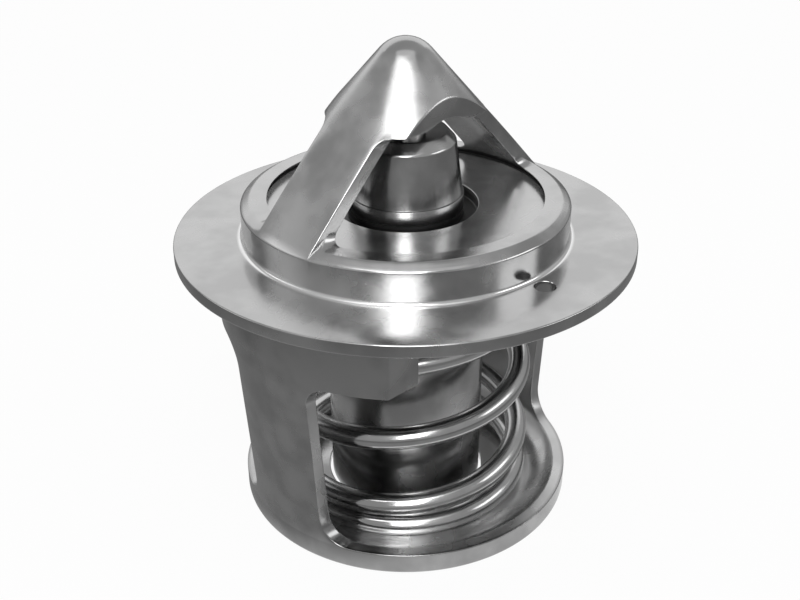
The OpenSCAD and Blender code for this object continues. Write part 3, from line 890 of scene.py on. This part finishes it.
def coil_tree(material):
    """Wire swept along a coil whose ends lie closed and are ground flat."""
    tree = bpy.data.node_groups.new("ground_coil", "GeometryNodeTree")
    face = tree.interface
    face.new_socket("Geometry", in_out="OUTPUT", socket_type="NodeSocketGeometry")
    named = {}
    for name in ("Coil Radius", "Wire Diameter", "Turns", "Start Angle", "Lower Centre", "Closed Pitch",
                 "Open Pitch", "Closed Turns", "Change Turns", "Ground Low", "Ground High"):
        named[name] = face.new_socket(name, in_out="INPUT", socket_type="NodeSocketFloat").identifier
    g = Graph(tree)
    given = tree.nodes.new("NodeGroupInput")
    size = {name: Wire(g, given.outputs[name]) for name in named}
    count = 520
    line = g.node("GeometryNodeCurvePrimitiveLine", {"mode": "POINTS"},
                  {"Start": (0, 0, 0), "End": (1, 0, 0)})
    points = g.node("GeometryNodeResampleCurve", {}, {"Curve": line, "Count": count})
    order = g.node("GeometryNodeInputIndex")
    turn = order * size["Turns"] / float(count - 1)
    angle = turn * (2 * math.pi) + size["Start Angle"]

    def eased(start):
        past = turn - start
        held = past.math("MAXIMUM", 0.0).math("MINIMUM", size["Change Turns"])
        return held * held / (size["Change Turns"] * 2) + (past - size["Change Turns"]).math("MAXIMUM", 0.0)

    slowing = size["Turns"] - size["Closed Turns"] - size["Change Turns"]
    opened = eased(size["Closed Turns"]) - eased(slowing)
    rise = size["Open Pitch"] - size["Closed Pitch"]
    height = size["Lower Centre"] + turn * size["Closed Pitch"] + opened * rise
    spot = g.node("ShaderNodeCombineXYZ", {}, {
        "X": size["Coil Radius"] * angle.math("COSINE"), "Y": size["Coil Radius"] * angle.math("SINE"),
        "Z": height})
    helix = g.node("GeometryNodeSetPosition", {}, {"Geometry": points, "Position": spot})
    upright = g.node("GeometryNodeSetCurveNormal", {"mode": "Z_UP"}, {0: helix})
    ring = g.node("GeometryNodeCurvePrimitiveCircle", {"mode": "RADIUS"},
                  {"Resolution": 28, "Radius": size["Wire Diameter"] / 2})
    wire = g.node("GeometryNodeCurveToMesh", {},
                  {"Curve": upright, "Profile Curve": ring, "Fill Caps": True})
    where = g.node("GeometryNodeInputPosition")
    across = g.node("ShaderNodeSeparateXYZ", {}, {0: where})
    ground = across.part("Z").math("MAXIMUM", size["Ground Low"]).math("MINIMUM", size["Ground High"])
    flat = g.node("ShaderNodeCombineXYZ", {}, {"X": across.part("X"), "Y": across.part("Y"), "Z": ground})
    cut = g.node("GeometryNodeSetPosition", {}, {"Geometry": wire, "Position": flat})
    real = g.node("GeometryNodeRealizeInstances", {}, {0: cut})
    done = g.node("GeometryNodeSetMaterial", {}, {"Geometry": real, "Material": material})
    g.node("NodeGroupOutput", {}, {0: done})
    return tree, named


def make_main_spring(material):
    drop = SPRING_GRIND - SPRING_WIRE / 2
    low_c, high_c = SPRING_LOW - drop, SPRING_HIGH + drop
    closed_pitch = SPRING_WIRE + 0.1
    open_run = SPRING_TURNS - 2 * CLOSED_TURNS - 2 * CHANGE_TURNS
    closed_rise = closed_pitch * (2 * CLOSED_TURNS + CHANGE_TURNS)
    open_pitch = (high_c - low_c - closed_rise) / (open_run + CHANGE_TURNS)
    tree, named = coil_tree(material)
    seed = bpy.data.objects.new("main_spring_rough", bpy.data.meshes.new("main_spring_rough"))
    bpy.context.scene.collection.objects.link(seed)
    seed.data.materials.append(material)
    builder = seed.modifiers.new("coil", "NODES")
    builder.node_group = tree
    sizes = {"Coil Radius": SPRING_R * MM, "Wire Diameter": SPRING_WIRE * MM,
             "Turns": SPRING_TURNS, "Start Angle": SPRING_START,
             "Lower Centre": low_c * MM, "Closed Pitch": closed_pitch * MM, "Open Pitch": open_pitch * MM,
             "Closed Turns": CLOSED_TURNS, "Change Turns": CHANGE_TURNS,
             "Ground Low": SPRING_LOW * MM, "Ground High": SPRING_HIGH * MM}
    for name, value in sizes.items():
        builder[named[name]] = value
    bpy.context.view_layer.update()
    spring = plain_copy("main_spring_dressed", seed)
    bm = bmesh.new()
    bm.from_mesh(spring.data)
    bmesh.ops.remove_doubles(bm, verts=bm.verts, dist=1e-6)
    bmesh.ops.recalc_face_normals(bm, faces=bm.faces)
    if bm.calc_volume(signed=True) < 0:
        bmesh.ops.reverse_faces(bm, faces=bm.faces)
    bm.to_mesh(spring.data)
    bm.free()
    mesh = spring.data
    bpy.data.objects.remove(spring)
    return finish_mesh("main_spring_dressed", mesh, 35)


# Finishes of this part, and its pieces

# Painted shade: the moat round the disc's hub is darkened in colour
painted_shade_moat = (MOAT_R + 0.25, HUB_Z + 0.7, DISH_Z, 0.05, 0.2)
# Painted light: the floor and dish inside the cage's bottom ring are lightened in colour
painted_light_floor = (CAGE_R - 0.3, BASE_H + 0.05, BASE_H + 0.4, 0.64, 0.06)
# Painted highlight: the bend at the ring's foot on the flange is lightened in colour
painted_highlight_bend = (RING_R + BEND_R, TOP_Z + 0.35, TOP_Z + BEND_R, 0.88, 0.0)
drawn_steel = steel("drawn_steel", 0.58, 0.44, 0.15, 0.31, zone=painted_highlight_bend)
stamped_steel = steel("stamped_steel", 0.44, 0.29, 0.16, 0.34, zone=painted_light_floor)
disc_steel = steel("disc_steel", 0.58, 0.46, 0.15, 0.28, zone=painted_shade_moat)
turned_steel = steel("turned_steel", 0.56, 0.44, 0.15, 0.26, rings=0.3, zone=painted_shade_moat)
cup_steel = steel("cup_steel", 0.56, 0.36, 0.18, 0.32, rings=0.15)
spring_steel = steel("spring_steel", 0.58, 0.48, 0.14, 0.24)
piston_steel = steel("piston_steel", 0.72, 0.66, 0.08, 0.14)
seal_rubber = soft("seal_rubber", grey(0.045), grey(0.022), 0.55, 600.0)
washer_plastic = soft("washer_plastic", (0.86, 0.85, 0.80, 1), (0.78, 0.77, 0.72, 1), 0.45, 400.0)
wax = soft("wax", (0.66, 0.48, 0.32, 1), (0.50, 0.33, 0.20, 1), 0.5, 300.0)

pieces = [
    (make_upper_frame(), "upper_frame", "frame", "frame_steel", drawn_steel),
    (make_lower_cage(), "lower_cage", "frame", "cage_steel", stamped_steel),
    (make_piston(), "piston", "frame", "piston_steel", piston_steel),
    (make_main_spring(spring_steel), "main_spring", "frame", "spring_steel", spring_steel),
    (make_valve_disc(), "valve_disc", "valve", "disc_steel", disc_steel),
    (make_valve_seal(), "valve_seal", "valve", "seal_rubber", seal_rubber),
    (make_disc_retainer(), "disc_retainer", "valve", "turned_metal", turned_steel),
    (make_guide_cap(), "guide_cap", "valve", "turned_metal", turned_steel),
    (make_guide_stem(), "guide_stem", "valve", "turned_metal", turned_steel),
    (make_element_cup(), "element_cup", "valve", "cup_metal", cup_steel),
]
for piece, node, body, slot, material in pieces:
    piece.data.materials.clear()
    piece.data.materials.append(material)
    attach(piece, body)
    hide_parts(node)
    if node == "main_spring":
        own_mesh(piece)

for node, material in (("wiper_seal", seal_rubber), ("rubber_boot", seal_rubber),
                       ("backup_washer", washer_plastic), ("wax_charge", wax)):
    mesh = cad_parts[node].data
    mesh.materials.clear()
    mesh.materials.append(material)


# Studio

# The photograph's metal mirrors a grey surround, not its white ground. This is the floor's brightness as
# the metal sees it, by distance in metres from a spot under the object's right front
# A glow painted into the floor for reflections only: a painted reflection, brightest near the object
MIRROR_CENTRE = (0.0007, -0.0050, 0)
PAINTED_REFLECTION_FLOOR = ((0.0205, 0.95), (0.0245, 0.26), (0.049, 0.28), (0.066, 0.19), (0.090, 0.13))


def make_floor():
    bm = bmesh.new()
    bmesh.ops.create_grid(bm, x_segments=1, y_segments=1, size=3.0)
    mesh = bpy.data.meshes.new("studio_floor")
    bm.to_mesh(mesh)
    bm.free()
    floor = bpy.data.objects.new("studio_floor", mesh)
    bpy.context.scene.collection.objects.link(floor)
    material, g = surface("studio_floor")
    path = g.node("ShaderNodeLightPath")
    paper = g.node("ShaderNodeBsdfDiffuse", {}, {"Color": grey(0.84)})
    white = g.node("ShaderNodeEmission", {}, {"Color": grey(1.0), "Strength": 1.0})
    away = g.node("ShaderNodeVectorMath", {"operation": "DISTANCE"},
                  {0: g.node("ShaderNodeTexCoord", out="Object"), 1: MIRROR_CENTRE}, out="Value")
    reach = PAINTED_REFLECTION_FLOOR[-1][0]
    stops = [(distance / reach, bright) for distance, bright in PAINTED_REFLECTION_FLOOR]
    ramp = g.node("ShaderNodeValToRGB", {"stops": stops}, {0: away / reach})
    shade = g.node("ShaderNodeEmission", {}, {"Color": ramp, "Strength": 1.0})
    seen = g.node("ShaderNodeMixShader", {}, {0: path.part("Is Camera Ray") * 0.94, 1: paper, 2: white})
    # Glossy rays see the painted reflection glow in place of the lit paper
    mirrored = g.node("ShaderNodeMixShader", {}, {0: path.part("Is Glossy Ray") * 0.9, 1: seen, 2: shade})
    g.node("ShaderNodeOutputMaterial", {}, {"Surface": mirrored})
    mesh.materials.append(material)


# Directions as the camera sees them, then how far off the lights are and what height they face, in metres
right = Vector((math.sqrt(0.5), -math.sqrt(0.5), 0))
ahead = Vector((math.sqrt(0.5), math.sqrt(0.5), 0))
up = Vector((0, 0, 1))
LIGHTS_AWAY, LIGHTS_FACE = 0.7, 0.03


def softbox(name, turn, height, width, tall, glow):
    """A plain panel of light that faces the object.

    Its bearing from straight behind the object as the camera sees it, clockwise from above, its height and
    its size are in degrees; glow is its brightness."""
    data = bpy.data.lights.new(name, "AREA")
    data.shape = "RECTANGLE"
    data.size = 2 * LIGHTS_AWAY * math.tan(math.radians(width / 2))
    data.size_y = 2 * LIGHTS_AWAY * math.tan(math.radians(tall / 2))
    data.energy = glow * math.pi * data.size * data.size_y
    light = bpy.data.objects.new(name, data)
    bpy.context.scene.collection.objects.link(light)
    t, e = math.radians(turn), math.radians(height)
    place = (right * math.sin(t) + ahead * math.cos(t)) * math.cos(e) + up * math.sin(e)
    light.location = place * LIGHTS_AWAY + up * LIGHTS_FACE
    light.rotation_euler = place.to_track_quat("Z", "Y").to_euler()
    light.visible_camera = False


make_floor()
softbox("back_panel", -6, 30, 80, 36, 0.6)
softbox("top_panel", 180, 76, 50, 26, 0.45)
softbox("front_strip", -178, 40, 20, 40, 6.0)
softbox("front_panel", -168, 63, 40, 7, 3.0)
softbox("right_panel", 98, 28, 30, 14, 2.3)
softbox("left_panel", -90, 22, 30, 14, 1.0)

# World: a grey room for the metal, white to the camera
world = bpy.data.worlds.new("studio_world")
bpy.context.scene.world = world
world.use_nodes = True
world.node_tree.nodes.clear()
g = Graph(world.node_tree)
seen = g.node("ShaderNodeLightPath").part("Is Camera Ray")
room = g.node("ShaderNodeBackground", {}, {"Color": grey(1.0), "Strength": 0.42})
white = g.node("ShaderNodeBackground", {}, {"Color": grey(1.0), "Strength": 1.0})
backdrop = g.node("ShaderNodeMixShader", {}, {0: seen, 1: room, 2: white})
g.node("ShaderNodeOutputWorld", {}, {"Surface": backdrop})

# Camera, fitted to the circles and straight edges of the photograph
camera_data = bpy.data.cameras.new("camera")
camera_data.lens = 50
camera_data.sensor_width = 36
camera_data.shift_x = -0.00715
camera_data.clip_start = 0.01
camera = bpy.data.objects.new("camera", camera_data)
bpy.context.scene.collection.objects.link(camera)
eye, aim = Vector((-84.07, -84.07, 90.70)) * MM, Vector((0, 0, 25.2)) * MM
camera.location = eye
camera.rotation_euler = (aim - eye).to_track_quat("-Z", "Y").to_euler()
bpy.context.scene.camera = camera
bpy.context.scene.view_settings.view_transform = "Standard"
